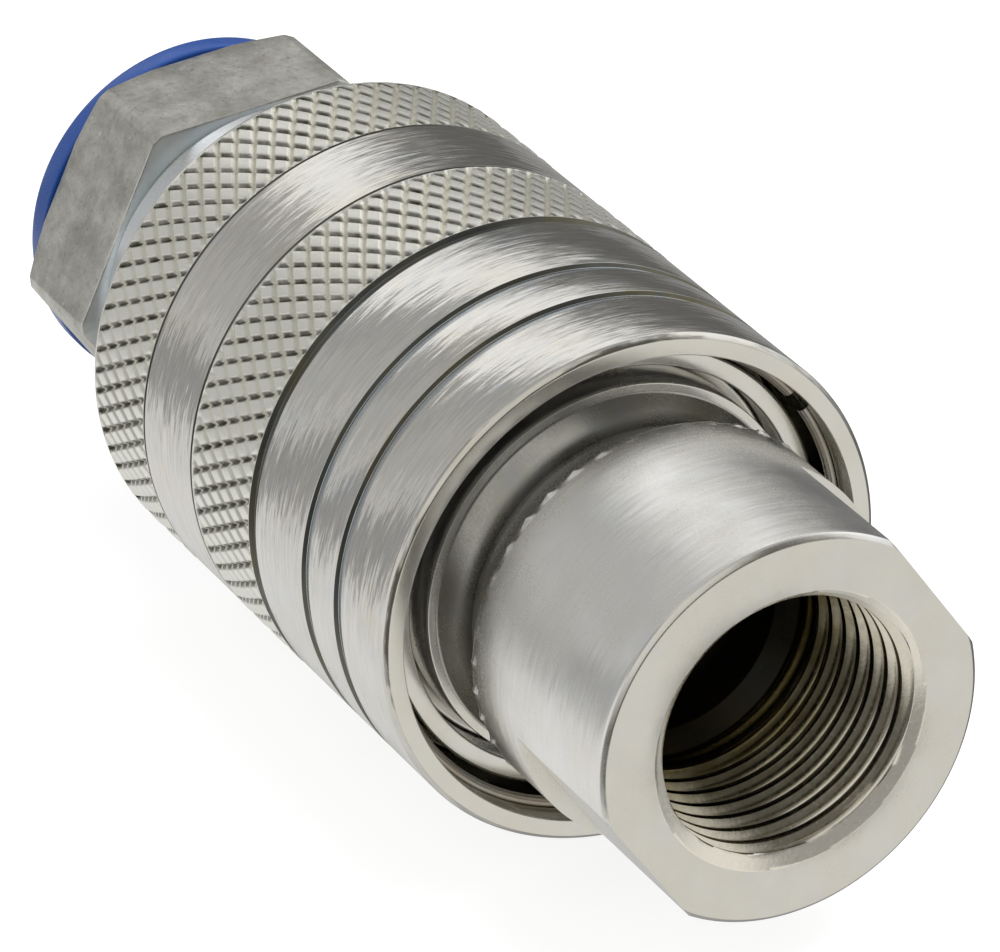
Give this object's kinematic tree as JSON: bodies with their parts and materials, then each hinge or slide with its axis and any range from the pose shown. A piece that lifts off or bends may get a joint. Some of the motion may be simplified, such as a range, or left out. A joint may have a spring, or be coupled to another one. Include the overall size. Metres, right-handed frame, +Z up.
{
  "type": "quick disconnect coupler",
  "caption": "Ball-lock quick disconnect coupler with knurled sliding sleeve, valved nipple plugged in, hex adapter and plastic dust plug.",
  "frame": {"origin": "centre of the bounding box, on the flow axis", "axes": "+X along the flow axis towards the nipple's open port, +Z up, square to two of the hex adapter's flats"},
  "size_m": [0.0896, 0.038, 0.038],
  "materials": {
    "zinc_steel": "bright zinc-plated turned steel with fine circumferential tool lines and a diamond knurl",
    "nipple_steel": "smooth satin zinc-plated steel",
    "forged_steel": "matte mid-grey zinc-plated steel with a mottled surface",
    "body_steel": "turned steel",
    "spring_steel": "drawn spring wire",
    "ball_steel": "polished bearing steel",
    "nitrile_rubber": "black nitrile rubber",
    "backup_polymer": "off-white fluoropolymer",
    "blue_plastic": "saturated mid-blue moulded plastic"
  },
  "bodies": {
    "coupler": {"coupler_body": "body_steel", "hex_adapter": "forged_steel", "adapter_o_ring": "nitrile_rubber", "nose_o_ring": "nitrile_rubber", "nose_backup_ring": "backup_polymer", "sleeve_spring": "spring_steel", "spring_washer": "body_steel", "spring_circlip": "spring_steel", "coupler_poppet_guide": "body_steel", "coupler_poppet_spring": "spring_steel"},
    "sleeve_ring": {"mouth_wire_ring": "spring_steel"},
    "sleeve": {"grip_sleeve": "zinc_steel"},
    "nipple": {"nipple_body": "nipple_steel", "nipple_poppet_guide": "body_steel", "nipple_guide_ring": "spring_steel", "nipple_poppet_spring": "spring_steel"},
    "nipple_valve": {"nipple_poppet": "body_steel", "nipple_poppet_seal": "nitrile_rubber"},
    "coupler_valve": {"coupler_poppet": "body_steel", "coupler_poppet_seal": "nitrile_rubber"},
    "plug": {"port_plug": "blue_plastic"},
    "ball_1": {"locking_ball_1": "ball_steel"},
    "ball_2": {"locking_ball_2": "ball_steel"},
    "ball_3": {"locking_ball_3": "ball_steel"},
    "ball_4": {"locking_ball_4": "ball_steel"},
    "ball_5": {"locking_ball_5": "ball_steel"},
    "ball_6": {"locking_ball_6": "ball_steel"},
    "ball_7": {"locking_ball_7": "ball_steel"},
    "ball_8": {"locking_ball_8": "ball_steel"}
  },
  "joints": [
    {"name": "sleeve_pull", "type": "slide", "parent": "coupler", "child": "sleeve_ring", "axis": [-1, 0, 0], "range_m": [0, 0.006], "stiffness_N_per_m": 2500, "springref_m": -0.004, "deforming": ["sleeve_spring"]},
    {"name": "sleeve_turn", "type": "hinge", "parent": "sleeve_ring", "child": "sleeve", "pos_m": [0.02075, 0, 0], "axis": [1, 0, 0], "continuous": true},
    {"name": "nipple_swivel", "type": "hinge", "parent": "coupler", "child": "nipple", "pos_m": [0.01025, 0, 0], "axis": [1, 0, 0], "continuous": true},
    {"name": "coupler_valve_shift", "type": "slide", "parent": "coupler", "child": "coupler_valve", "axis": [-1, 0, 0], "range_m": [-0.002, 0.002], "stiffness_N_per_m": 600, "deforming": ["coupler_poppet_spring"]},
    {"name": "nipple_valve_shift", "type": "slide", "parent": "nipple", "child": "nipple_valve", "axis": [-1, 0, 0], "range_m": [-0.002, 0.002], "deforming": ["nipple_poppet_spring"]},
    {"name": "plug_pull", "type": "slide", "parent": "coupler", "child": "plug", "axis": [-1, 0, 0], "range_m": [0, 0.025]},
    {"name": "ball_1_lift", "type": "slide", "parent": "coupler", "child": "ball_1", "axis": [0, 1, 0], "range_m": [0, 0.00155]},
    {"name": "ball_2_lift", "type": "slide", "parent": "coupler", "child": "ball_2", "axis": [0, 0.7071, 0.7071], "range_m": [0, 0.00155]},
    {"name": "ball_3_lift", "type": "slide", "parent": "coupler", "child": "ball_3", "axis": [0, 0, 1], "range_m": [0, 0.00155]},
    {"name": "ball_4_lift", "type": "slide", "parent": "coupler", "child": "ball_4", "axis": [0, -0.7071, 0.7071], "range_m": [0, 0.00155]},
    {"name": "ball_5_lift", "type": "slide", "parent": "coupler", "child": "ball_5", "axis": [0, -1, 0], "range_m": [0, 0.00155]},
    {"name": "ball_6_lift", "type": "slide", "parent": "coupler", "child": "ball_6", "axis": [0, -0.7071, -0.7071], "range_m": [0, 0.00155]},
    {"name": "ball_7_lift", "type": "slide", "parent": "coupler", "child": "ball_7", "axis": [0, 0, -1], "range_m": [0, 0.00155]},
    {"name": "ball_8_lift", "type": "slide", "parent": "coupler", "child": "ball_8", "axis": [0, 0.7071, -0.7071], "range_m": [0, 0.00155]}
  ],
  "couplings": [
    {"joint": "nipple_valve_shift", "follows": "coupler_valve_shift", "ratio": 1},
    {"joint": "ball_1_lift", "follows": "sleeve_pull", "ratio": 0.2583},
    {"joint": "ball_2_lift", "follows": "sleeve_pull", "ratio": 0.2583},
    {"joint": "ball_3_lift", "follows": "sleeve_pull", "ratio": 0.2583},
    {"joint": "ball_4_lift", "follows": "sleeve_pull", "ratio": 0.2583},
    {"joint": "ball_5_lift", "follows": "sleeve_pull", "ratio": 0.2583},
    {"joint": "ball_6_lift", "follows": "sleeve_pull", "ratio": 0.2583},
    {"joint": "ball_7_lift", "follows": "sleeve_pull", "ratio": 0.2583},
    {"joint": "ball_8_lift", "follows": "sleeve_pull", "ratio": 0.2583}
  ]
}
